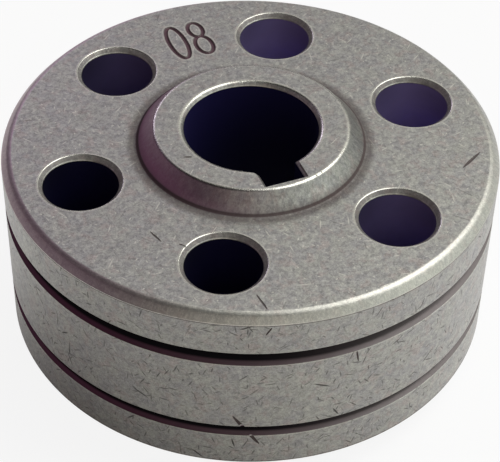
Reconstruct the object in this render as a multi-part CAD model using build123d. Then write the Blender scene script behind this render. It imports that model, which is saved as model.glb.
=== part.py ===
from build123d import *

import os
from math import radians, sin, tan

# Feed roller of a welding wire feeder, in millimetres.
# It is one piece of steel, turned, drilled and broached: a thick rim with two wire grooves,
# a low hub on each side, six holes round it and a keyed bore.
# +Z runs along the bore, the origin is the middle of the roller, and the keyway faces -Y.
# Both sides are alike, so that the roller can be turned over to use its other groove.

# Rim
rim_diameter = 37.0
rim_width = 15.4
rim_chamfer_width = 0.56
rim_chamfer_depth = 0.63
rim_blend_radius = 0.5

# Hub on each side
hub_height = 1.5
hub_top_diameter = 14.5
hub_flank_angle = 41.0
hub_edge_radius = 0.3
hub_foot_radius = 0.8

# Bore and keyway
bore_diameter = 10.0
bore_chamfer_width = 0.22
bore_chamfer_depth = 0.28
key_width = 3.0
key_depth = 1.6
key_root_radius = 0.12
key_edge_break = 0.2

# Holes round the hub, the keyway midway between two of them
hole_count = 6
hole_circle_diameter = 26.5
hole_diameter = 5.5
hole_chamfer_width = 0.33
hole_chamfer_depth = 0.32

# Wire grooves, V-shaped, each for its own wire
groove_angle = 60.0
groove_spacing = 7.4
groove_root_radius = 0.15
upper_wire_diameter = 1.0
lower_wire_diameter = 0.8
wire_sink = 0.06

# How far a cutting shape runs past the surface it cuts
overrun = 1.0

# Levels and radii that follow from the sizes above
rim_radius = rim_diameter / 2
bore_radius = bore_diameter / 2
rim_face = rim_width / 2
hub_face = rim_face + hub_height


def side_corners():
    """Corners of one side's section, from the bore out to the rim, each with its rounding."""
    hub_top = hub_top_diameter / 2
    hub_foot = hub_top + hub_height * tan(radians(hub_flank_angle))
    return [
        ((bore_radius, hub_face - bore_chamfer_depth), 0),
        ((bore_radius + bore_chamfer_width, hub_face), 0),
        ((hub_top, hub_face), hub_edge_radius),
        ((hub_foot, rim_face), hub_foot_radius),
        ((rim_radius - rim_chamfer_width, rim_face), rim_blend_radius),
        ((rim_radius, rim_face - rim_chamfer_depth), 0),
    ]


def body_section():
    """Section of the turned blank: one side's corners, then the same ones mirrored."""
    upper = side_corners()
    lower = [((radius, -level), rounding) for (radius, level), rounding in reversed(upper)]
    corners = upper + lower
    points = [point for point, rounding in corners]
    roundings = [rounding for point, rounding in corners]
    with BuildSketch(Plane.XZ) as section:
        with BuildLine():
            FilletPolyline(*points, radius=roundings, close=True)
        make_face()
    return section.sketch


def groove_section(wire_diameter, level):
    """Section of the V for one wire, whose centre lies wire_sink under the rim."""
    half_angle = radians(groove_angle / 2)
    apex = rim_radius - wire_sink - wire_diameter / 2 / sin(half_angle)
    mouth = rim_radius + overrun
    half_mouth = (mouth - apex) * tan(half_angle)
    points = [(mouth, level + half_mouth), (apex, level), (mouth, level - half_mouth)]
    with BuildSketch(Plane.XZ) as section:
        with BuildLine():
            FilletPolyline(*points, radius=[0, groove_root_radius, 0], close=True)
        make_face()
    return section.sketch


def turned_body():
    """The rim, the hubs and the plain bore, turned with both wire grooves."""
    section = body_section()
    section -= groove_section(upper_wire_diameter, groove_spacing / 2)
    section -= groove_section(lower_wire_diameter, -groove_spacing / 2)
    return revolve(section, Axis.Z)


def keyway():
    """Broached slot in the bore, right through, with its edges broken at both hub faces."""
    slot = extrude(key_outline(0), hub_face + overrun, both=True)
    flare = loft([
        Pos(0, 0, hub_face - key_edge_break) * key_outline(0),
        Pos(0, 0, hub_face) * key_outline(key_edge_break),
    ])
    return slot + flare + mirror(flare, Plane.XY)


def key_outline(growth):
    """Outline of the keyway from the bore's axis out, wider and deeper by growth."""
    half_width = key_width / 2 + growth
    floor = bore_radius + key_depth + growth
    points = [(half_width, 0), (half_width, -floor), (-half_width, -floor), (-half_width, 0)]
    with BuildSketch() as outline:
        with BuildLine():
            FilletPolyline(*points, radius=[0, key_root_radius, key_root_radius, 0], close=True)
        make_face()
    return outline.sketch


def side_hole():
    """One hole through the rim's web, with a countersunk edge at each face."""
    radius = hole_diameter / 2
    bore = Cylinder(radius, rim_width + 2 * overrun)
    countersink = Pos(0, 0, rim_face - hole_chamfer_depth / 2) * Cone(
        radius, radius + hole_chamfer_width, hole_chamfer_depth
    )
    return bore + countersink + mirror(countersink, Plane.XY)


def side_holes():
    """All holes, spaced evenly with the keyway's direction halfway between two."""
    first = -90 + 180 / hole_count
    places = PolarLocations(hole_circle_diameter / 2, hole_count, start_angle=first)
    return [place * side_hole() for place in places]


def roller():
    """The finished roller."""
    return turned_body() - keyway() - side_holes()


os.makedirs("parts", exist_ok=True)
export_step(roller(), "parts/roller.step")
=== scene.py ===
import math

import bmesh
import bpy
from mathutils import Euler, Matrix, Vector


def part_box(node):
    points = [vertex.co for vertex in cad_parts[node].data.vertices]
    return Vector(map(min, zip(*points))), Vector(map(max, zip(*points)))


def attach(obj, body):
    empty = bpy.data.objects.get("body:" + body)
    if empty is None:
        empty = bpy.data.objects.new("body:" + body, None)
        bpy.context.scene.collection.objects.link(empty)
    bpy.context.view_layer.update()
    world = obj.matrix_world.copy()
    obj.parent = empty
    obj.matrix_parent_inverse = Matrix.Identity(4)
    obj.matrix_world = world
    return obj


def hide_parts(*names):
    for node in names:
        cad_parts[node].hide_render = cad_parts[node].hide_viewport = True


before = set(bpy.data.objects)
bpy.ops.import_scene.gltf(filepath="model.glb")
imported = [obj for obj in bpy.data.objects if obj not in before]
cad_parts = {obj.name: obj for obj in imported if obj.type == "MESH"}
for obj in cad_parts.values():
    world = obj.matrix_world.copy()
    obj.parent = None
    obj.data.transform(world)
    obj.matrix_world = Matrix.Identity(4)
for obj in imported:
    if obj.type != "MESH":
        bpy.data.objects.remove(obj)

bl_info = {
    "name": "Wire feed roller",
    "version": (1, 0, 0),
    "blender": (4, 5, 0),
    "location": "3D View > Sidebar > Feed roller",
    "description": "A keyed and grooved wire feed roller in worn satin steel, with its studio",
    "category": "Object",
}

MM = 0.001
NODE = "roller"
PIECE = "feed_roller"
LOWEST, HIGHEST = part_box(NODE)

# Camera's turn from the keyway in degrees, and its sensor's width in millimetres
CAMERA_AZIMUTH = 22.7
SENSOR_WIDTH = 36

# Steps in each rounding of a section, points in an engraved oval, and steps of a nick's tool
ROUNDING_STEPS = 5
OVAL_POINTS = 64
NICK_STEPS = 16

# Distance in metres within which two points of a mesh are one
SAME_POINT = 1e-7

# Edges sharper than this many degrees stay sharp, and how much large faces weigh in shading
SHARP_EDGE = 32
FACE_WEIGHT = 80

# Upward share of a normal from which a face counts as flat, and as next to a flat one
FLAT = 0.99999
NEARLY_FLAT = 0.9


def length(name, description, millimetres):
    """A length that the user can change, stored in metres."""
    return bpy.props.FloatProperty(
        name=name, description=description, default=millimetres * MM, unit="LENGTH", precision=5
    )


def angle(name, description, degrees):
    """An angle that the user can change."""
    return bpy.props.FloatProperty(
        name=name, description=description, default=math.radians(degrees), subtype="ANGLE"
    )


def count(name, description, number):
    """A whole number that the user can change."""
    return bpy.props.IntProperty(name=name, description=description, default=number, min=1)


def share(name, description, value):
    """A plain number that the user can change."""
    return bpy.props.FloatProperty(name=name, description=description, default=value)


def colour(name, description, value):
    """A colour that the user can change."""
    return bpy.props.FloatVectorProperty(
        name=name, description=description, default=value, size=3, subtype="COLOR", min=0, max=1
    )


class RollerSizes(bpy.types.PropertyGroup):
    """Sizes of the steel body."""

    rim_diameter: length("Rim diameter", "Outer diameter", (HIGHEST[0] - LOWEST[0]) / MM)
    full_width: length("Full width", "Width over both hubs", (HIGHEST[2] - LOWEST[2]) / MM)
    rim_chamfer_width: length("Rim chamfer width", "Measured along the face", 0.56)
    rim_chamfer_depth: length("Rim chamfer depth", "Measured along the rim", 0.63)
    rim_blend: length("Rim blend", "Radius between face and chamfer", 0.65)
    hub_height: length("Hub height", "How far each hub stands out", 1.5)
    hub_top_diameter: length("Hub top diameter", "Across the hub's flat top", 14.5)
    hub_flank: angle("Hub flank", "Angle of the hub's flank from the axis", 41)
    hub_edge: length("Hub edge", "Radius of the hub's upper edge", 0.35)
    hub_foot: length("Hub foot", "Radius where the hub meets the face", 0.5)
    bore_diameter: length("Bore diameter", "Diameter of the bore", 10)
    bore_chamfer_width: length("Bore chamfer width", "Measured along the hub's top", 0.22)
    bore_chamfer_depth: length("Bore chamfer depth", "Measured down the bore", 0.28)
    key_width: length("Keyway width", "Width of the keyway", 3)
    key_depth: length("Keyway depth", "Depth from the bore's wall", 1.6)
    key_corner: length("Keyway corner", "Wear where one wall meets the bore", 0.45)
    key_break: length("Keyway edge break", "Broken edge at the hub's top", 0.2)
    hole_circle: length("Hole circle", "Diameter through the hole centres", 26.5)
    hole_diameter: length("Hole diameter", "Diameter of the side holes", 5.5)
    hole_count: count("Holes", "Holes round the hub", 6)
    hole_chamfer_width: length("Hole chamfer width", "Measured along the face", 0.33)
    hole_chamfer_depth: length("Hole chamfer depth", "Measured down the hole", 0.32)
    groove_spacing: length("Groove spacing", "Between the two wire grooves", 7.4)
    upper_mouth: length("Upper groove", "Width of the upper wire groove at the rim", 1.22)
    lower_mouth: length("Lower groove", "Width of the lower wire groove at the rim", 1.0)
    groove_angle: angle("Groove angle", "Angle between a groove's flanks", 60)
    groove_root: length("Groove root", "Radius at a groove's bottom", 0.15)
    worn_edge: length("Worn edge", "Radius of every edge that tumbling has dulled", 0.05)
    sink_edge: length("Sink edge", "Radius of the outer edge of the holes' chamfers", 0.2)
    steps: count("Steps", "Steps round the whole rim", 360)


class NumberSizes(bpy.types.PropertyGroup):
    """Sizes of the engraved number."""

    distance: length("Distance", "From the axis to the middle of the number", 13.25)
    spacing: length("Spacing", "Between the middles of two digits", 1.9)
    height: length("Height", "Height of a digit between stroke centres", 4.16)
    zero_width: length("Zero width", "Width of the nought between stroke centres", 1.32)
    upper_loop: length("Upper loop", "Width of the eight's upper loop", 1.12)
    lower_loop: length("Lower loop", "Width of the eight's lower loop", 1.3)
    stroke: length("Stroke", "Width of a stroke at the face", 0.36)
    depth: length("Depth", "Depth of a stroke", 0.16)


class SteelLook(bpy.types.PropertyGroup):
    """Colours and finish of the steel, some of which paint light and shade onto it."""

    thin_film: colour("Thin film", "Tumbled steel under a thin film of oil", (0.43, 0.43, 0.39))
    thick_film: colour("Thick film", "Tumbled steel under a thick film of oil", (0.385, 0.38, 0.372))
    # Painted shade: the rim's side kept a little darker than the faces
    side: colour("Side", "Share of those that the ground rim keeps", (0.92, 0.91, 0.91))
    tan_film: colour("Tan film", "Patches where the oil has dried", (0.42, 0.385, 0.36))
    scratch: colour("Scratch", "Bottom of a tumbling mark", (0.07, 0.065, 0.06))
    # Bare worn steel, also used for the painted highlights on edges and on the rim's chamfer
    shine_and_highlight: colour("Shine", "Freshly rubbed steel", (0.66, 0.65, 0.58))
    # Painted shade in the nicks, along the hub's foot, on the holes' and bore's chamfers, under the
    # rim's edge and in the number
    corner_shade: colour("Grime", "Oil and dust in corners", (0.075, 0.052, 0.052))
    # Painted shade in the wire grooves: the darker colour on the left and front, also used in the
    # number, the lighter one on the right
    groove_shade_dark: colour("Groove, oily", "Oiled steel in the wire grooves", (0.15, 0.06, 0.10))
    groove_shade_light: colour("Groove, clean", "Cleaner steel in the wire grooves", (0.215, 0.19, 0.19))
    # Painted shadow: near-black deep in the grooves and along the hub's foot, on the left
    black_shade: colour("Soot", "Black dirt in the sharpest corners", (0.006, 0.005, 0.007))
    # Painted shade: a purple tint on the left of the hub's flank and of the rim's chamfer
    plum_shade: colour("Plum", "Tinted film at the left of hub flank and rim chamfer", (0.33, 0.14, 0.25))
    # Painted shade: near-black in the bore and the nearer holes
    hollow_shade: colour("Hollow", "Dark oil in the bore and the nearer holes", (0.009, 0.007, 0.05))
    # Painted light: a bluish glow in the holes farther away
    haze_glow: colour("Haze", "Bluish oil in the holes farther away", (0.33, 0.26, 0.60))
    roughness: share("Roughness", "Roughness of the tumbled skin", 0.42)


class StudioLook(bpy.types.PropertyGroup):
    """Camera and studio."""

    azimuth: angle("Azimuth", "Camera's turn from the keyway, to the left", CAMERA_AZIMUTH)
    elevation: angle("Elevation", "Camera's height over the upper face", 39.879)
    camera_distance: length("Camera distance", "From the middle of the upper face", 128.06)
    aim_down: angle("Aim down", "Turn of the camera below that middle", 3.010)
    aim_side: angle("Aim side", "Turn of the camera beside that middle", 0.04)
    tilt: angle("Tilt", "Roll of the camera about its line of sight", 1.357)
    lens: share("Lens", f"Focal length in millimetres on a {SENSOR_WIDTH} mm sensor", 123.9)
    floor: colour("Floor", "Pale table", (0.93, 0.93, 0.93))
    bleach: share("Bleach", "Share of plain white in what the camera sees of the table", 0.88)
    # Painted shadow: reflections see the table as plain white except in a fixed pool beside the
    # roller
    shadow: share("Shadow", "Share of plain white that the metal sees in the table's shadow", 0.02)
    shadow_side: angle("Shadow side", "Side of the roller where the table is in shadow", -22)
    shadow_reach: length("Shadow reach", "From the axis to the middle of the shadow", 30)


def rim_radius(size):
    """Outer radius."""
    return size.rim_diameter / 2


def hub_face(size):
    """Level of the hub's top."""
    return size.full_width / 2


def rim_face(size):
    """Level of the rim's face."""
    return hub_face(size) - size.hub_height


def chain(corners):
    """Draws corners (radius, level, rounding) as a closed outline in XZ and rounds them."""
    bm = bmesh.new()
    places = [Vector((radius, 0, level)) for radius, level, rounding in corners]
    vertices = [bm.verts.new(place) for place in places]
    for first, second in zip(vertices, vertices[1:] + vertices[:1]):
        bm.edges.new((first, second))
    for number, vertex in enumerate(vertices):
        rounding = corners[number][2]
        if rounding:
            before = places[number] - places[number - 1]
            after = places[(number + 1) % len(places)] - places[number]
            setback = rounding * math.tan(before.angle(after) / 2)
            bmesh.ops.bevel(
                bm, geom=[vertex], offset=setback, offset_type="OFFSET",
                segments=ROUNDING_STEPS, profile=0.5, affect="VERTICES", material=-1,
                clamp_overlap=False,
            )
    return bm


def turn(bm, steps):
    """Spins an outline once round Z and closes it."""
    bmesh.ops.spin(
        bm, geom=bm.verts[:] + bm.edges[:], cent=(0, 0, 0), axis=(0, 0, 1), dvec=(0, 0, 0),
        angle=math.tau, steps=steps, use_merge=True,
    )
    bmesh.ops.remove_doubles(bm, verts=bm.verts, dist=SAME_POINT)
    bmesh.ops.dissolve_degenerate(bm, edges=bm.edges, dist=SAME_POINT)
    bmesh.ops.recalc_face_normals(bm, faces=bm.faces)


def to_object(bm, name):
    """Turns a bmesh into an object in the scene."""
    mesh = bpy.data.meshes.new(name)
    bm.to_mesh(mesh)
    bm.free()
    made = bpy.data.objects.new(name, mesh)
    bpy.context.scene.collection.objects.link(made)
    return made


def bake_modifiers(piece):
    """Replaces a piece's mesh by what its modifiers make of it."""
    bpy.context.view_layer.update()
    graph = bpy.context.evaluated_depsgraph_get()
    old = piece.data
    piece.data = bpy.data.meshes.new_from_object(piece.evaluated_get(graph))
    piece.modifiers.clear()
    bpy.data.meshes.remove(old)


def carve(piece, tool):
    """Cuts a tool out of a piece and throws the tool away."""
    cut = piece.modifiers.new("carve", "BOOLEAN")
    cut.operation = "DIFFERENCE"
    cut.solver = "EXACT"
    cut.object = tool
    bake_modifiers(piece)
    tool_mesh = tool.data
    bpy.data.objects.remove(tool)
    bpy.data.meshes.remove(tool_mesh)


# Rounding of the bore's mouth, flare of a hole's tool and its rise over the face, all as shares
# of the rounding of a hole's mouth
BORE_ROUNDING = 1.6
TOOL_FLARE = 3
TOOL_RISE = 0.15


def side_corners(size):
    """Upper side's corners from the bore to the rim, each with its rounding."""
    hub_top = size.hub_top_diameter / 2
    hub_foot = hub_top + size.hub_height * math.tan(size.hub_flank)
    bore = size.bore_diameter / 2
    bore_edge = BORE_ROUNDING * size.sink_edge
    rim = rim_radius(size)
    return [
        (bore, hub_face(size) - size.bore_chamfer_depth, size.worn_edge),
        (bore + size.bore_chamfer_width, hub_face(size), bore_edge),
        (hub_top, hub_face(size), size.hub_edge),
        (hub_foot, rim_face(size), size.hub_foot),
        (rim - size.rim_chamfer_width, rim_face(size), size.rim_blend),
        (rim, rim_face(size) - size.rim_chamfer_depth, size.worn_edge),
    ]


def groove_corners(size, mouth, level):
    """One wire groove's corners from its upper edge to its lower one."""
    depth = mouth / 2 / math.tan(size.groove_angle / 2)
    rim = rim_radius(size)
    return [
        (rim, level + mouth / 2, size.worn_edge),
        (rim - depth, level, size.groove_root),
        (rim, level - mouth / 2, size.worn_edge),
    ]


def turned_body(size):
    """The rim, both hubs, the plain bore and the wire grooves."""
    upper = side_corners(size)
    lower = [(radius, -level, rounding) for radius, level, rounding in reversed(upper)]
    grooves = groove_corners(size, size.upper_mouth, size.groove_spacing / 2)
    grooves += groove_corners(size, size.lower_mouth, -size.groove_spacing / 2)
    bm = chain(upper + grooves + lower)
    turn(bm, size.steps)
    return bm


def side_hole(size):
    """Tool for one side hole, which flares out just over each face to round the mouth's edge."""
    radius = size.hole_diameter / 2
    level = rim_face(size)
    mouth = radius + size.hole_chamfer_width
    flare = mouth + TOOL_FLARE * size.sink_edge
    over = level + TOOL_RISE * size.sink_edge
    upper = [
        (0, over, 0),
        (flare, over, 0),
        (mouth, level, size.sink_edge),
        (radius, level - size.hole_chamfer_depth, 2 * size.worn_edge),
    ]
    lower = [(radius, -level, rounding) for radius, level, rounding in reversed(upper)]
    bm = chain(upper + lower)
    on_axis = {vertex for vertex in bm.verts if abs(vertex.co.x) < SAME_POINT}
    axis = [edge for edge in bm.edges if on_axis.issuperset(edge.verts)]
    bmesh.ops.delete(bm, geom=axis, context="EDGES")
    turn(bm, size.steps // 4)
    return bm


def hole_angles(size):
    """Directions of the side holes, the keyway's midway between two."""
    step = math.tau / size.hole_count
    return [-math.pi / 2 + step * (number + 0.5) for number in range(size.hole_count)]


def side_holes(size):
    """Tool for all side holes."""
    one = side_hole(size)
    pattern = bpy.data.meshes.new("side_hole")
    one.to_mesh(pattern)
    one.free()
    bm = bmesh.new()
    for direction in hole_angles(size):
        place = Matrix.Rotation(direction, 4, "Z") @ Matrix.Translation((size.hole_circle / 2, 0, 0))
        pattern.transform(place)
        bm.from_mesh(pattern)
        pattern.transform(place.inverted())
    bpy.data.meshes.remove(pattern)
    return bm


# Points of the keyway's worn corner, outwards and towards the axis from the sharp one, as shares
WORN_CORNER = ((0, -0.9), (0.25, -0.2), (0.9, 0.2), (2.0, 0.9))


def key_loop(bm, size, level, growth):
    """Edges of the keyway's outline at one level, larger by growth and with one worn corner."""
    half = size.key_width / 2 + growth
    bore = size.bore_diameter / 2
    floor = bore + size.key_depth + growth
    worn = size.key_corner
    corners = [(half, 0), (half, -floor), (-half, -floor)]
    corners += [(-half - out * worn, up * worn - bore) for out, up in WORN_CORNER]
    corners.append((-half, 0))
    vertices = [bm.verts.new((x, y, level)) for x, y in corners]
    return [bm.edges.new(pair) for pair in zip(vertices, vertices[1:] + vertices[:1])]


def keyway(size):
    """Tool for the broached keyway, flared at both hub tops."""
    bm = bmesh.new()
    top = hub_face(size)
    levels = [
        (-top - size.key_break, 2 * size.key_break),
        (-top + size.key_break, 0),
        (top - size.key_break, 0),
        (top + size.key_break, 2 * size.key_break),
    ]
    loops = [key_loop(bm, size, level, growth) for level, growth in levels]
    for lower, upper in zip(loops, loops[1:]):
        bmesh.ops.bridge_loops(bm, edges=lower + upper)
    bmesh.ops.holes_fill(bm, edges=bm.edges, sides=8)
    bmesh.ops.recalc_face_normals(bm, faces=bm.faces)
    return bm


NICKS = (
    # Angles in degrees and lengths in mm: ground, bearing, level on the rim or else distance from
    # the axis, turn, length, width, depth
    ("rim", -112.3, -3.6, -57, 3.8, 0.32, 0.15),
    ("rim", -108, 6.5, 60, 0.85, 0.14, 0.05),
    ("rim", -88, 2.6, -80, 1.3, 0.14, 0.05),
    ("face", -28.4, 16.35, 30, 2.4, 0.24, 0.06),
    ("face", -109.3, 16.9, -84, 1.7, 0.16, 0.05),
    ("face", -144, 12.5, -73, 1.4, 0.16, 0.05),
    ("face", -134, 12.4, -55, 0.8, 0.18, 0.05),
    ("hub", -162.7, 5.93, -20, 0.65, 0.17, 0.05),
    ("hub", -71.7, 7.23, -60, 0.36, 0.13, 0.10),
    ("hub", -67.6, 7.25, -85, 0.26, 0.12, 0.10),
    ("hub", -45.5, 7.34, -60, 0.36, 0.13, 0.12),
)


def nicks(size):
    """Tools for the large nicks: three on the rim, four on the face and four on the hub's top."""
    levels = {"face": rim_face(size), "hub": hub_face(size)}
    bm = bmesh.new()
    for ground, bearing, along, turned, long, wide, deep in NICKS:
        place = Matrix.Rotation(math.radians(bearing), 4, "Z")
        if ground == "rim":
            place @= Matrix.Translation((rim_radius(size), 0, along * MM))
            place @= Matrix.Rotation(math.pi / 2, 4, "Z") @ Matrix.Rotation(math.pi / 2, 4, "X")
            place @= Matrix.Rotation(math.radians(turned), 4, "Z")
        else:
            place @= Matrix.Translation((along * MM, 0, levels[ground]))
            place @= Matrix.Rotation(math.radians(turned - bearing), 4, "Z")
        place @= Matrix.Diagonal((long * MM / 2, wide * MM / 2, deep * MM, 1))
        bmesh.ops.create_uvsphere(
            bm, u_segments=NICK_STEPS, v_segments=NICK_STEPS // 2, radius=1, matrix=place
        )
    bmesh.ops.recalc_face_normals(bm, faces=bm.faces)
    return bm


def oval_stroke(name, centre, width, height, number, level):
    """Tool that engraves one closed oval stroke, centred at a place on the face."""
    curve = bpy.data.curves.new(name, "CURVE")
    curve.dimensions = "3D"
    half = number.stroke / 2
    lift = (half ** 2 - number.depth ** 2) / (2 * number.depth)
    curve.bevel_depth = lift + number.depth
    curve.bevel_resolution = 3
    spline = curve.splines.new("POLY")
    spline.points.add(OVAL_POINTS - 1)
    for step, point in enumerate(spline.points):
        at = math.tau * step / OVAL_POINTS
        x = centre.x + math.cos(at) * width / 2
        y = centre.y + math.sin(at) * height / 2
        point.co = (x, y, level + lift, 1)
    spline.use_cyclic_u = True
    outline = bpy.data.objects.new(name, curve)
    bpy.context.scene.collection.objects.link(outline)
    graph = bpy.context.evaluated_depsgraph_get()
    mesh = bpy.data.meshes.new_from_object(outline.evaluated_get(graph))
    bpy.data.objects.remove(outline)
    bpy.data.curves.remove(curve)
    made = bpy.data.objects.new(name, mesh)
    bpy.context.scene.collection.objects.link(made)
    return made


# Share of the eight's height that its upper loop takes
UPPER_SHARE = 0.45


def number_ovals(number):
    """The nought and the eight's two loops: name, centre, width and height of each."""
    upper_height = number.height * UPPER_SHARE
    lower_height = number.height - upper_height
    upper_middle = (number.height - upper_height) / 2
    lower_middle = (lower_height - number.height) / 2
    half = number.spacing / 2
    return [
        ("nought", -half, 0, number.zero_width, number.height),
        ("upper_loop", half, upper_middle, number.upper_loop, upper_height),
        ("lower_loop", half, lower_middle, number.lower_loop, lower_height),
    ]


def number_strokes(number, level):
    """Tools for the number, which stands upright away from the axis."""
    tools = []
    for name, across, up, width, height in number_ovals(number):
        centre = Vector((across, number.distance + up))
        tools.append(oval_stroke(name, centre, width, height, number, level))
    return tools


def level_normals(mesh):
    """Makes the normals round every flat face exactly upright, so that it looks flat."""
    normals = [corner.vector.copy() for corner in mesh.corner_normals]
    flat_points = set()
    for face in mesh.polygons:
        if abs(face.normal.z) > FLAT:
            flat_points.update(face.vertices)
    for face in mesh.polygons:
        if abs(face.normal.z) > NEARLY_FLAT:
            upright = Vector((0, 0, math.copysign(1, face.normal.z)))
            for corner in face.loop_indices:
                if mesh.loops[corner].vertex_index in flat_points:
                    normals[corner] = upright
    mesh.normals_split_custom_set(normals)


def shade(piece):
    """Smooth surfaces with sharp edges, and flat faces that stay flat up to their roundings."""
    piece.data.shade_smooth()
    piece.data.set_sharp_from_angle(angle=math.radians(SHARP_EDGE))
    weight = piece.modifiers.new("weight", "WEIGHTED_NORMAL")
    weight.keep_sharp = True
    weight.weight = FACE_WEIGHT
    bake_modifiers(piece)
    level_normals(piece.data)


class Value:
    """A value in the shader: arithmetic on it adds Math nodes."""

    def __init__(self, tree, socket=None):
        self.tree = tree
        self.socket = socket

    def node(self, kind, output, inputs=(), **settings):
        """Adds a node, sets it, feeds its sockets and returns one of its outputs."""
        made = self.tree.nodes.new("ShaderNode" + kind)
        for name, value in settings.items():
            setattr(made, name, value)
        for name, value in dict(inputs).items():
            if isinstance(value, Value):
                self.tree.links.new(value.socket, made.inputs[name])
            else:
                made.inputs[name].default_value = value
        return Value(self.tree, made.outputs[output])

    def other(self, output):
        """Another output of the node that this value comes from."""
        return Value(self.tree, self.socket.node.outputs[output])

    def maths(self, operation, *values):
        """One Math node on this value and others."""
        return self.node("Math", 0, dict(enumerate((self, *values))), operation=operation)

    def __add__(self, value):
        return self.maths("ADD", value)

    def __radd__(self, value):
        return self.maths("ADD", value)

    def __mul__(self, value):
        return self.maths("MULTIPLY", value)

    def __sub__(self, value):
        return self.maths("SUBTRACT", value)

    def __rsub__(self, value):
        return self * -1 + value

    def __truediv__(self, value):
        return self.maths("DIVIDE", value)

    def __pow__(self, value):
        return self.maths("POWER", value)

    def __abs__(self):
        return self.maths("ABSOLUTE")

    def __gt__(self, value):
        return self.maths("GREATER_THAN", value)

    def __lt__(self, value):
        return self.maths("LESS_THAN", value)

    def root(self):
        """Square root."""
        return self.maths("SQRT")

    def most(self, *others):
        """The largest of this value and others."""
        found = self
        for other in others:
            found = found.maths("MAXIMUM", other)
        return found

    def least(self, *others):
        """The smallest of this value and others."""
        found = self
        for other in others:
            found = found.maths("MINIMUM", other)
        return found

    def between(self, low, high):
        """1 where this value lies between low and high, 0 elsewhere."""
        return (self > low) * (self < high)

    def ramp(self, low, high, first=0.0, last=1.0):
        """Smooth step from first to last as this value goes from low to high."""
        inputs = {"Value": self, "From Min": low, "From Max": high, "To Min": first, "To Max": last}
        return self.node("MapRange", "Result", inputs, interpolation_type="SMOOTHSTEP")

    def line(self, middle, solid, faded, strength):
        """Strength where this value is within solid of middle, falling to 0 at faded from it."""
        return abs(self - middle).ramp(solid, faded, strength, 0.0)

    def times(self, second):
        """This colour multiplied by another colour or by a value."""
        if isinstance(second, Value):
            return self.node("VectorMath", 0, {0: self, "Scale": second}, operation="SCALE")
        return self.node("VectorMath", 0, {0: self, 1: tuple(second)}, operation="MULTIPLY")

    def mix(self, first, second):
        """Colour between first and second, with this value as the share of the second."""
        inputs = {0: self, 6: tone(first), 7: tone(second)}
        return self.node("Mix", 2, inputs, data_type="RGBA")


def tone(value):
    """A colour as the four numbers that a socket takes."""
    return value if isinstance(value, Value) else (*value, 1)


def noise_value(plane, scale, detail, roughness, distortion=0.0):
    """Noise from 0 to 1 and mostly about 0.5, with the scale in features to a millimetre."""
    inputs = {
        "Vector": plane, "Scale": scale, "Detail": detail, "Roughness": roughness,
        "Distortion": distortion,
    }
    return plane.node("TexNoise", 0, inputs, noise_dimensions="3D")


# How far one step of the seed moves a layer of marks, and how two random values make a third
SEED_SHIFT = (3.7, 5.3)
CHANCE = (7.31, 3.17)

# Most that a mark is bent, and how long the shortest marks are beside the longest
MARK_BEND = 0.12
SHORTEST_MARK = 0.35


def strokes(plane, cell, long, wide, amount, seed):
    """Random short marks with pointed ends, at most one to a cell: 1 in a mark, 0 outside."""
    shift = (seed * SEED_SHIFT[0], seed * SEED_SHIFT[1], 0)
    moved = plane.node("VectorMath", 0, {0: plane, 1: shift}, operation="ADD")
    scaled = plane.node("VectorMath", 0, {0: moved, "Scale": 1 / cell}, operation="SCALE")
    spot = plane.node(
        "TexVoronoi", "Position", {"Vector": scaled, "Scale": 1.0, "Randomness": 1.0},
        voronoi_dimensions="2D", feature="F1",
    )
    local = plane.node("VectorMath", 0, {0: scaled, 1: spot}, operation="SUBTRACT")
    x = plane.node("SeparateXYZ", "X", {0: local})
    y = x.other("Y")
    first = plane.node("SeparateColor", "Red", {0: spot.other("Color")})
    second = first.other("Green")
    third = first.other("Blue")
    turned = first * math.tau
    cosine = turned.maths("COSINE")
    sine = turned.maths("SINE")
    along = (x * cosine + y * sine) * cell
    across = (y * cosine - x * sine) * cell
    across = across + (second - 0.5) * along * along * (MARK_BEND / long)
    half = (third * (1 - SHORTEST_MARK) + SHORTEST_MARK) * long / 2
    from_middle = (along / half) ** 2 + (across / (wide / 2)) ** 2
    kept = (second * CHANCE[0] + third * CHANCE[1]).maths("FRACT") < amount
    return from_middle.ramp(0.25, 1.1, 1.0, 0.0) * kept


def oval_distance(x, y, across, up, width, height):
    """About how far a place lies from an oval's line."""
    x = x - across
    y = y - up
    wide = width / 2
    high = height / 2
    reach = ((x / wide) ** 2 + (y / high) ** 2).root()
    slope = ((x / wide ** 2) ** 2 + (y / high ** 2) ** 2).root()
    return abs((reach - 1) * reach / slope)


# Directions on the face as seen from the camera, as shares of X and Y: right and far right
RIGHT = (0.92, -0.39)
FAR_RIGHT = (0.925, 0.38)

# How far the side's texture lies from the face's, and a distance beyond any engraved stroke
SIDE_SHIFT = 9
OUT_OF_REACH = 5


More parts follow.
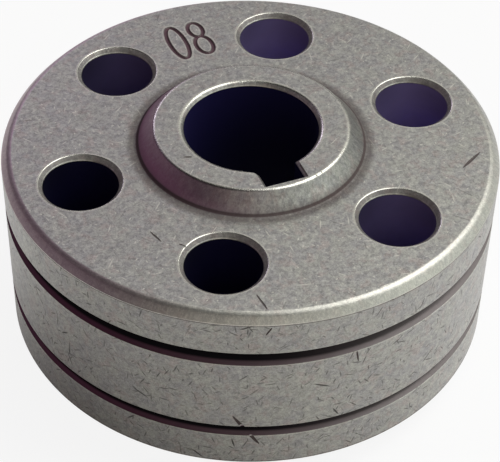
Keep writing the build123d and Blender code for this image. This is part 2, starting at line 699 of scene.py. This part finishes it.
class Places:
    """Where a point of the roller lies, in millimetres, as values in the shader."""

    def __init__(self, tree, size, number):
        start = Value(tree)
        place = start.node("TexCoord", "Object")
        place = start.node("VectorMath", 0, {0: place, "Scale": 1 / MM}, operation="SCALE")
        x = start.node("SeparateXYZ", "X", {0: place})
        y = x.other("Y")
        z = x.other("Z")
        self.height = abs(z)
        self.radius = (x * x + y * y).root()
        self.bearing = y.maths("ARCTAN2", x)
        self.right = x * RIGHT[0] + y * RIGHT[1]
        self.far = x * FAR_RIGHT[0] + y * FAR_RIGHT[1]

        self.rim = rim_radius(size) / MM
        self.face = rim_face(size) / MM
        self.rim_corner = self.face - size.rim_chamfer_depth / MM
        self.hub = hub_face(size) / MM
        self.hub_top = size.hub_top_diameter / 2 / MM
        self.hub_foot = self.hub_top + size.hub_height * math.tan(size.hub_flank) / MM
        self.bore = size.bore_diameter / 2 / MM
        self.bore_mouth = self.bore + size.bore_chamfer_width / MM
        self.bore_corner = self.hub - size.bore_chamfer_depth / MM
        self.hole = size.hole_diameter / 2 / MM
        self.hole_mouth = self.hole + size.hole_chamfer_width / MM
        self.hole_corner = self.face - size.hole_chamfer_depth / MM

        self.on_side = self.radius > self.rim - 0.04
        chamfer_edge = self.rim - size.rim_chamfer_width / MM - 0.22
        self.on_chamfer = (self.radius > chamfer_edge) * (self.height > self.rim_corner + 0.01)
        across = x + self.on_side * (self.bearing * self.rim - x)
        up = y + self.on_side * (z - y)
        layer = self.on_side * SIDE_SHIFT
        self.plane = start.node("CombineXYZ", 0, {0: across, 1: up, 2: layer})

        half_spacing = size.groove_spacing / 2 / MM
        self.grooves = (
            (abs(z - half_spacing), size.upper_mouth / 2 / MM),
            (abs(z + half_spacing), size.lower_mouth / 2 / MM),
        )
        self.find_holes(size)
        self.find_number(x, y, z, number)

    def find_holes(self, size):
        """Distance from the nearest hole's axis, and depth in front of its back and left walls."""
        step = math.tau / size.hole_count
        circle = size.hole_circle / 2 / MM
        folded = ((self.bearing + math.pi / 2) / step).maths("FRACT") * step - step / 2
        hole_x = self.radius * folded.maths("COSINE") - circle
        hole_y = self.radius * folded.maths("SINE")
        self.from_hole = (hole_x * hole_x + hole_y * hole_y).root()
        bearing = self.bearing - math.radians(90 - CAMERA_AZIMUTH)
        walls = []
        for operation in ("COSINE", "SINE"):
            middle = (bearing - folded).maths(operation) * circle
            walls.append(self.radius * bearing.maths(operation) - middle)
        self.back_wall, self.left_wall = walls

    def find_number(self, x, y, z, number):
        """Distance from the engraved number's strokes on the upper face."""
        distances = []
        for _, across, up, width, height in number_ovals(number):
            sizes = (across, up + number.distance, width, height)
            distances.append(oval_distance(x, y, *[value / MM for value in sizes]))
        nearest = distances[0].least(*distances[1:])
        self.from_number = nearest + (z < self.face - 0.3) * OUT_OF_REACH


# Bearings round the keyway and its worn corner, in radians
KEY_ZONE = (1.0 - math.pi, 1.7 - math.pi)


def recess_shade_values(places, size, fine):
    """Painted shade in each recess: grooves, holes, bore, hub foot, nicks and number, with a purple
    tint on the left and a dark line under the rim's edge; margins in mm.
    """
    radius = places.radius
    height = places.height
    from_hole = places.from_hole
    # Painted shade in the wire grooves
    groove = 0
    groove_band = 0
    for from_middle, half_mouth in places.grooves:
        groove = (from_middle < half_mouth + 0.01) + groove
        groove_band = (from_middle < half_mouth + 0.08) + groove_band
    groove = groove * radius.between(places.rim - 2, places.rim - 0.035)
    # Painted shadow deep in the grooves, strongest on the left
    groove_root = groove * radius.ramp(places.rim - 0.42, places.rim - 0.24, 1.0, 0.0)
    groove_root = groove_root * places.right.ramp(0, 16, 1.0, 0.3)

    # Inside the side holes, where painted light and shade go
    in_hole = (from_hole < places.hole + 0.02) * (height < places.hole_corner - 0.06)
    # Painted shade on the holes' and the bore's chamfers
    hole_sink = from_hole.between(places.hole + 0.06, places.hole_mouth - 0.03)
    hole_sink = hole_sink * (height < places.face - 0.02)

    # Painted shade inside the bore
    keyed = places.bore + size.key_depth / MM + 0.3
    in_bore = (radius < keyed) * (height < places.bore_corner - 0.04)
    bore_sink = radius.between(places.bore + 0.05, places.bore_mouth - 0.05)
    bore_sink = bore_sink * height.between(places.bore_corner - 0.04, places.hub - 0.02)

    # Painted shade along the hub's foot: a dark line in the crease and a softer band outside it
    near_foot = height.between(places.face - 0.1, places.face + 0.6)
    foot_line = radius.line(places.hub_foot - 0.10, 0.05, 0.18, 0.9)
    foot_film = radius.line(places.hub_foot + 0.15, 0.12, 0.75, 0.66)
    foot = foot_line.most(foot_film * fine.ramp(0.3, 0.6, 0.7, 1.0)) * near_foot
    # Painted shadow along the hub's foot on the left
    foot_root = foot_line * near_foot * places.right.ramp(-7, 3, 0.55, 0.0)

    # Painted shade: a purple tint on the left of the hub's flank and of the rim's chamfer
    plum_shade = radius.ramp(places.hub_top + 0.1, places.hub_foot, 0.6, 0.95)
    plum_shade = plum_shade * radius.between(places.hub_top - 0.02, places.hub_foot)
    plum_shade = plum_shade * (height > places.face + 0.02) * places.right.ramp(-7, 3, 1.0, 0.0)
    plum_shade = plum_shade.most(places.on_chamfer * places.right.ramp(-12, -2, 0.4, 0.0))

    # Painted shade in the nicks
    rim_nick = radius.between(places.rim - 0.3, places.rim - 0.012) * (1 - groove_band)
    rim_nick = rim_nick * (height < places.rim_corner - 0.08)
    face_nick = height.between(places.face - 0.12, places.face - 0.008)
    face_nick = face_nick * radius.between(places.hub_foot + 0.6, places.rim - 0.95)
    face_nick = face_nick * (from_hole > places.hole + 0.65) * (places.from_number > 0.35)
    hub_nick = height.between(places.hub - 0.1, places.hub - 0.008)
    hub_nick = hub_nick * radius.between(places.bore + 0.6, places.hub_top - 0.35)
    hub_nick = hub_nick * (1 - places.bearing.between(*KEY_ZONE))

    # Painted shade: a dark line under the rim's outer edge
    under = height.line(places.rim_corner - 0.08, 0.02, 0.06, 0.55) * (radius > places.rim - 0.03)
    return {
        "groove": groove,
        "groove_root": groove_root,
        "hole": in_hole,
        "bore": in_bore,
        "sink": hole_sink.most(bore_sink * 0.35),
        "foot": foot,
        "foot_root": foot_root,
        "plum_shade": plum_shade,
        "nick": rim_nick.most(face_nick * 0.85, hub_nick * 0.85) * 0.95,
        "under": under,
        # Painted shade in the engraved number
        "engraved": places.from_number.ramp(0.11, 0.20, 0.93, 0.0),
    }


def rubbed_and_highlight_value(places, fine):
    """How bright the edges are: partly wear where they rub against other parts, partly painted
    highlight along the rim's blend and edge, the grooves' lips, the hole, bore and hub edges and
    round the number; margins in mm.
    """
    radius = places.radius
    height = places.height
    inner = radius.line(places.rim - 0.60, 0.1, 0.4, 0.2) * (height > places.face - 0.5)
    outer = height.line(places.rim_corner, 0.02, 0.07, 1.0) * (radius > places.rim - 0.08)
    hub = radius.line(places.hub_top - 0.06, 0.05, 0.2, 0.9) * (height > places.hub - 0.2)
    hole = places.from_hole.line(places.hole + 0.39, 0.05, 0.12, 1.0)
    hole = hole * (height > places.face - 0.05) * (radius > places.hub_foot)
    hole_ring = places.from_hole.line(places.hole + 0.02, 0.03, 0.08, 0.6)
    hole_ring = hole_ring * (height > places.hole_corner - 0.08)
    bore = radius.line(places.bore + 0.33, 0.08, 0.17, 1.0) * (height > places.hub - 0.06)
    bore_ring = radius.line(places.bore, 0.03, 0.08, 0.5) * (height > places.bore_corner - 0.08)
    # Painted highlight: a light halo round the engraved number
    number_rim = places.from_number.line(0.25, 0.03, 0.09, 0.8)
    lips = 0
    for from_middle, half_mouth in places.grooves:
        lips = from_middle.line(half_mouth + 0.02, 0.02, 0.06, 0.4) + lips
    lips = lips * (radius > places.rim - 0.06)
    edges = inner.most(outer, lips, hub, hole, hole_ring * 0.7, bore, bore_ring, number_rim)
    return edges * fine.ramp(0.32, 0.6, 0.45, 1.0)


DARK_MARKS = (
    # cell, length, width in mm; share of cells, seed; strength added on the side, strength all over
    (0.6, 0.58, 0.09, 0.7, 1, 0.24, 0.06),
    (1.0, 0.85, 0.12, 0.65, 2, 0.5, 0.08),
    (1.25, 1.0, 0.12, 0.6, 7, 0.58, 0.1),
)

# The same for the longer marks, which come in clusters
CLUSTERED_MARKS = (
    (1.9, 1.45, 0.13, 0.5, 3, 0.55, 0.14),
    (2.9, 1.8, 0.16, 0.4, 4, 0.55, 0.35),
)

BRIGHT_MARKS = (
    # cell, length, width in mm; share of cells, seed; strength
    (0.9, 0.34, 0.11, 0.45, 5, 0.9),
    (2.0, 1.2, 0.10, 0.55, 6, 0.8),
)


def dark_marks(places, cluster):
    """Tumbling marks in every length, stronger on the side and within clusters."""
    layers = []
    for marks, share_kept in ((DARK_MARKS, 1), (CLUSTERED_MARKS, cluster)):
        for *shape, side_strength, strength in marks:
            layer = strokes(places.plane, *shape) * (places.on_side * side_strength + strength)
            layers.append(layer * share_kept)
    return layers[0].most(*layers[1:]) * (cluster * 0.4 + 0.6)


def bright_marks(places):
    """Specks and hairs of bare steel, fewer of them on the side."""
    layers = [strokes(places.plane, *shape) * strength for *shape, strength in BRIGHT_MARKS]
    return layers[0].most(*layers[1:]) * (1 - places.on_side * 0.75)


def steel(size, number, look):
    """Satin tumbled steel: mottled skin, short marks, worn edges with painted highlights, and
    painted shade and light in the recesses and on one side.
    """
    material = bpy.data.materials.new("tumbled_steel")
    material.use_nodes = True
    tree = material.node_tree
    shader = tree.nodes["Principled BSDF"]
    places = Places(tree, size, number)
    plane = places.plane
    on_side = places.on_side

    fine = noise_value(plane, 2.6, 6, 0.72, 0.4)
    grain = noise_value(plane, 7.0, 3, 0.65, 1.2)
    blotch = noise_value(plane, 2.4, 4, 0.65, 0.8)
    film = noise_value(plane, 0.6, 4, 0.6)
    cluster = noise_value(plane, 0.2, 2, 0.5).ramp(0.42, 0.58, 0.3, 1.0)
    dried = noise_value(plane, 1.1, 3, 0.6, 0.5).ramp(0.5, 0.66, 0.0, 0.9)

    hub_slope = places.radius.between(places.hub_top, places.hub_foot + 0.2)
    quiet = 1 - places.on_chamfer.most(hub_slope) * 0.75
    marks = dark_marks(places, cluster) * quiet
    bright = bright_marks(places) * quiet
    recess = recess_shade_values(places, size, fine)
    rubbed_and_highlight = rubbed_and_highlight_value(places, fine)

    skin = (film * 0.6 + blotch * 0.4).ramp(0.36, 0.64).mix(look.thick_film, look.thin_film)
    mottle_and_shading = blotch.ramp(0.3, 0.7, -0.18, 0.18) * (1 - on_side * 0.35) + 1
    mottle_and_shading = mottle_and_shading * grain.ramp(0.3, 0.7, 0.80, 1.20)
    mottle_and_shading = mottle_and_shading * fine.ramp(0.3, 0.7, 0.90, 1.09)
    # Painted shade and light: the hub's flank darker on the right, the rim's side lighter on the
    # right
    mottle_and_shading = mottle_and_shading * (1 - hub_slope * places.right.ramp(0, 6, 0.0, 0.26))
    mottle_and_shading = mottle_and_shading * (1 + on_side * places.right.ramp(9, 18, 0.0, 0.16))
    skin = dried.mix(skin, look.tan_film)
    # Painted shade: the rim's side a little darker than the faces
    skin = on_side.mix(skin, skin.times(look.side)).times(mottle_and_shading)
    skin = marks.mix(skin, look.scratch)
    skin = bright.mix(skin, look.shine_and_highlight)
    # Painted highlight on the rim's chamfer, fainter towards the far right; mixed in with the edges,
    # which are partly wear and partly painted highlight
    chamfer = places.on_chamfer * (grain.ramp(0.5, 0.6) * 0.4 + 0.5)
    chamfer = chamfer * places.far.ramp(12, 17, 1.0, 0.35)
    skin = (rubbed_and_highlight.most(chamfer) * 0.75).mix(skin, look.shine_and_highlight)
    # Painted shade in the wire grooves: darker on the left and front, lighter on the right
    groove_shading = places.right.ramp(-12, 12).mix(look.groove_shade_dark, look.groove_shade_light)
    skin = recess["groove"].mix(skin, groove_shading)
    # Painted shade: a purple tint on the left of the hub's flank and the rim's chamfer
    skin = recess["plum_shade"].mix(skin, look.plum_shade)
    # Painted shade in the nicks, along the hub's foot, on the holes' and bore's chamfers, under the
    # rim's edge and in the number
    corner_shade = recess["nick"].most(recess["foot"], recess["sink"] * 0.45, recess["under"])
    corner_shade = corner_shade.most(recess["engraved"])
    skin = corner_shade.mix(skin, look.corner_shade)
    # Painted shade in the engraved number
    skin = (recess["engraved"] * 0.45).mix(skin, look.groove_shade_dark)
    # Painted shadow deep in the grooves and at the hub's foot on the left
    black_shade = recess["groove_root"].most(recess["foot_root"])
    skin = black_shade.mix(skin, look.black_shade)
    # Painted shade inside the bore
    skin = recess["bore"].mix(skin, look.hollow_shade)
    # Painted light and shade in the side holes: near-black in the nearer ones, a bluish glow in the
    # farther ones, lighter deeper down and varied across the walls to even out the lamp's light
    haze_glow = (places.far.ramp(-9, 11) * places.back_wall.ramp(-1.5, 0.5)).mix(look.hollow_shade, look.haze_glow)
    depth = places.height.ramp(3, 7.3, 1.75, 0.6) * places.left_wall.ramp(-0.5, 2.6, 1.1, 0.42)
    skin = recess["hole"].mix(skin, haze_glow.times(depth))
    tree.links.new(skin.socket, shader.inputs["Base Color"])

    dull = corner_shade.most(black_shade, recess["bore"], recess["hole"], recess["groove"] * 0.3)
    metallic = 1 - dull * 0.85
    tree.links.new(metallic.socket, shader.inputs["Metallic"])
    rough = fine * 0.16 + (look.roughness - 0.08) + marks * 0.15 - rubbed_and_highlight * 0.2
    rough = rough + dull * 0.3 + chamfer * 0.08
    tree.links.new(rough.socket, shader.inputs["Roughness"])
    shader.inputs["Specular IOR Level"].default_value = 0.15

    relief = fine * 0.012 + grain * 0.006 + blotch * 0.010 - marks * 0.010 + bright * 0.004
    relief = relief * (1 - recess["hole"].most(recess["bore"]))
    bump = relief.node("Bump", 0, {"Height": relief * MM, "Distance": 1.0, "Strength": 1.0})
    tree.links.new(bump.socket, shader.inputs["Normal"])
    return material


class FEEDROLLER_OT_body(bpy.types.Operator):
    """Turn the roller's body with its hubs, bore and wire grooves"""

    bl_idname = "feedroller.body"
    bl_label = "Body"

    def execute(self, context):
        piece = to_object(turned_body(context.scene.roller_sizes), PIECE)
        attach(piece, "root")
        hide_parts(NODE)
        return {"FINISHED"}


class FEEDROLLER_OT_holes(bpy.types.Operator):
    """Drill and countersink the side holes"""

    bl_idname = "feedroller.holes"
    bl_label = "Side holes"

    def execute(self, context):
        tool = to_object(side_holes(context.scene.roller_sizes), "drill")
        carve(bpy.data.objects[PIECE], tool)
        return {"FINISHED"}


class FEEDROLLER_OT_keyway(bpy.types.Operator):
    """Broach the keyway into the bore"""

    bl_idname = "feedroller.keyway"
    bl_label = "Keyway"

    def execute(self, context):
        tool = to_object(keyway(context.scene.roller_sizes), "broach")
        carve(bpy.data.objects[PIECE], tool)
        return {"FINISHED"}


class FEEDROLLER_OT_number(bpy.types.Operator):
    """Engrave the plain wire size number into the upper face"""

    bl_idname = "feedroller.number"
    bl_label = "Number"

    def execute(self, context):
        level = rim_face(context.scene.roller_sizes)
        for tool in number_strokes(context.scene.roller_number, level):
            carve(bpy.data.objects[PIECE], tool)
        return {"FINISHED"}


class FEEDROLLER_OT_nicks(bpy.types.Operator):
    """Cut the few large nicks of a used roller"""

    bl_idname = "feedroller.nicks"
    bl_label = "Nicks"

    def execute(self, context):
        tool = to_object(nicks(context.scene.roller_sizes), "nicks")
        carve(bpy.data.objects[PIECE], tool)
        return {"FINISHED"}


class FEEDROLLER_OT_finish(bpy.types.Operator):
    """Smooth the surfaces and give them their steel"""

    bl_idname = "feedroller.finish"
    bl_label = "Finish"

    def execute(self, context):
        scene = context.scene
        piece = bpy.data.objects[PIECE]
        shade(piece)
        piece.data.materials.clear()
        material = steel(scene.roller_sizes, scene.roller_number, scene.roller_look)
        piece.data.materials.append(material)
        return {"FINISHED"}


def direction(azimuth, elevation):
    """Unit vector to a place seen at these angles; azimuth 0 is the camera's, positive right."""
    studio = bpy.context.scene.roller_studio
    turned = azimuth - studio.azimuth
    flat = math.cos(elevation)
    return Vector((math.sin(turned) * flat, -math.cos(turned) * flat, math.sin(elevation)))


def soft_lamp(name, azimuth, elevation, distance, width, height, power, tint):
    """Area lamp that faces the roller; angles in degrees, lengths in metres."""
    data = bpy.data.lights.new(name, "AREA")
    data.shape = "RECTANGLE"
    data.size = width
    data.size_y = height
    data.energy = power
    data.color = tint
    lamp = bpy.data.objects.new(name, data)
    bpy.context.scene.collection.objects.link(lamp)
    towards = direction(math.radians(azimuth), math.radians(elevation))
    lamp.location = towards * distance
    lamp.rotation_euler = towards.to_track_quat("Z", "Y").to_euler()


def camera(studio, size):
    """Camera at the photograph's place."""
    data = bpy.data.cameras.new("camera")
    data.sensor_width = SENSOR_WIDTH
    data.lens = studio.lens
    data.clip_start = 5 * MM
    eye = bpy.data.objects.new("camera", data)
    bpy.context.scene.collection.objects.link(eye)
    back = direction(0, studio.elevation)
    eye.location = back * studio.camera_distance + Vector((0, 0, rim_face(size)))
    look_at = back.to_track_quat("Z", "Y").to_matrix()
    trim = Euler((-studio.aim_down, -studio.aim_side, 0)).to_matrix()
    roll = Matrix.Rotation(studio.tilt, 3, "Z")
    eye.rotation_euler = (look_at @ trim @ roll).to_euler()
    bpy.context.scene.camera = eye


# Reach of the table in metres, and where the painted shadow that reflections see begins to fade and
# ends, in millimetres
TABLE_REACH = 3
SHADOW_CORE = 12
SHADOW_END = 50


def floor(studio, size):
    """Pale table under the roller, which reflections see as plain white except in a painted shadow
    beside it.
    """
    bm = bmesh.new()
    bmesh.ops.create_grid(bm, x_segments=1, y_segments=1, size=TABLE_REACH)
    bmesh.ops.translate(bm, verts=bm.verts, vec=(0, 0, -hub_face(size)))
    table = to_object(bm, "table")
    material = bpy.data.materials.new("table")
    material.use_nodes = True
    tree = material.node_tree
    start = Value(tree)
    shader = tree.nodes["Principled BSDF"]
    place = start.node("TexCoord", "Object")
    grain = start.node("TexNoise", 0, {"Vector": place, "Scale": 40.0})
    pale = grain.ramp(0.3, 0.7).mix([channel * 0.99 for channel in studio.floor], studio.floor)
    tree.links.new(pale.socket, shader.inputs["Base Color"])
    shader.inputs["Roughness"].default_value = 0.9
    shader.inputs["Specular IOR Level"].default_value = 0.0
    path = start.node("LightPath", "Is Camera Ray")
    # Painted shadow: a fixed pool beside the roller where reflections see the table's own shading
    # instead of plain white
    middle = direction(studio.shadow_side, 0) * studio.shadow_reach
    middle.z = -hub_face(size)
    away = start.node("VectorMath", "Value", {0: place, 1: middle}, operation="DISTANCE")
    shadow_pool = away.ramp(SHADOW_CORE * MM, SHADOW_END * MM, studio.shadow, 1.0)
    reflected = path.other("Is Glossy Ray").most(path.other("Is Transmission Ray"))
    seen = path * studio.bleach + reflected * shadow_pool
    white = start.node("Emission", 0, {"Color": (1, 1, 1, 1), "Strength": 1.0})
    mixed = start.node("MixShader", 0, {0: seen, 1: Value(tree, shader.outputs[0]), 2: white})
    tree.links.new(mixed.socket, tree.nodes["Material Output"].inputs["Surface"])
    table.data.materials.append(material)


GLOWS = (
    # azimuth and elevation in degrees, colour
    (0, 15, (0.56, 0.51, 0.47)),
    (45, 15, (0.54, 0.56, 0.53)),
    (90, 15, (0.72, 0.76, 0.73)),
    (143, 44, (0.78, 0.78, 0.745)),
    (-90, 15, (0.205, 0.155, 0.185)),
    (-160, 18, (0.13, 0.11, 0.14)),
)

# Cosine of the angle from a glow's middle at which it ends
GLOW_EDGE = 0.67

LAMPS = (
    # name; azimuth and elevation in degrees; distance, width and height in metres; power, colour
    ("key", 106, 60, 0.3, 0.2, 0.2, 0.44, (1.0, 0.995, 0.98)),
    ("rear", -158, 27, 0.6, 0.2, 0.12, 0.22, (0.9, 0.8, 1.0)),
)


def sky():
    """Broad soft lights all round: bright behind and on the right, dim on the left."""
    world = bpy.data.worlds.new("studio")
    world.use_nodes = True
    bpy.context.scene.world = world
    start = Value(world.node_tree)
    towards = start.node("TexCoord", "Generated")
    light = None
    for azimuth, elevation, tint in GLOWS:
        aim = direction(math.radians(azimuth), math.radians(elevation))
        nearness = start.node("VectorMath", "Value", {0: towards, 1: aim}, operation="DOT_PRODUCT")
        glow = nearness.ramp(GLOW_EDGE, 1.0).mix((0, 0, 0), tint)
        if light:
            glow = start.node("VectorMath", 0, {0: light, 1: glow}, operation="ADD")
        light = glow
    backdrop = world.node_tree.nodes["Background"]
    world.node_tree.links.new(light.socket, backdrop.inputs["Color"])
    backdrop.inputs["Strength"].default_value = 1.0


class FEEDROLLER_OT_studio(bpy.types.Operator):
    """Set up the table, the soft lamps and the camera"""

    bl_idname = "feedroller.studio"
    bl_label = "Studio"

    def execute(self, context):
        scene = context.scene
        scene.view_settings.view_transform = "Standard"
        floor(scene.roller_studio, scene.roller_sizes)
        sky()
        for lamp in LAMPS:
            soft_lamp(*lamp)
        camera(scene.roller_studio, scene.roller_sizes)
        return {"FINISHED"}


STEPS = (
    FEEDROLLER_OT_body, FEEDROLLER_OT_holes, FEEDROLLER_OT_keyway, FEEDROLLER_OT_number,
    FEEDROLLER_OT_nicks, FEEDROLLER_OT_finish, FEEDROLLER_OT_studio,
)


class FEEDROLLER_PT_panel(bpy.types.Panel):
    """Lists the steps that make the roller"""

    bl_idname = "FEEDROLLER_PT_panel"
    bl_label = "Feed roller"
    bl_space_type = "VIEW_3D"
    bl_region_type = "UI"
    bl_category = "Feed roller"

    def draw(self, context):
        for step in STEPS:
            self.layout.operator(step.bl_idname)


GROUPS = {
    "roller_sizes": RollerSizes,
    "roller_number": NumberSizes,
    "roller_look": SteelLook,
    "roller_studio": StudioLook,
}


def register():
    """Makes the settings, steps and panel known to Blender."""
    for name, group in GROUPS.items():
        bpy.utils.register_class(group)
        setattr(bpy.types.Scene, name, bpy.props.PointerProperty(type=group))
    for item in (*STEPS, FEEDROLLER_PT_panel):
        bpy.utils.register_class(item)


def unregister():
    """Takes them away again."""
    for item in (FEEDROLLER_PT_panel, *reversed(STEPS)):
        bpy.utils.unregister_class(item)
    for name, group in reversed(GROUPS.items()):
        delattr(bpy.types.Scene, name)
        bpy.utils.unregister_class(group)


def main():
    """Builds the roller and its studio."""
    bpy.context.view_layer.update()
    register()
    bpy.ops.feedroller.body()
    bpy.ops.feedroller.holes()
    bpy.ops.feedroller.keyway()
    bpy.ops.feedroller.number()
    bpy.ops.feedroller.nicks()
    bpy.ops.feedroller.finish()
    bpy.ops.feedroller.studio()


if __name__ == "__main__":
    main()
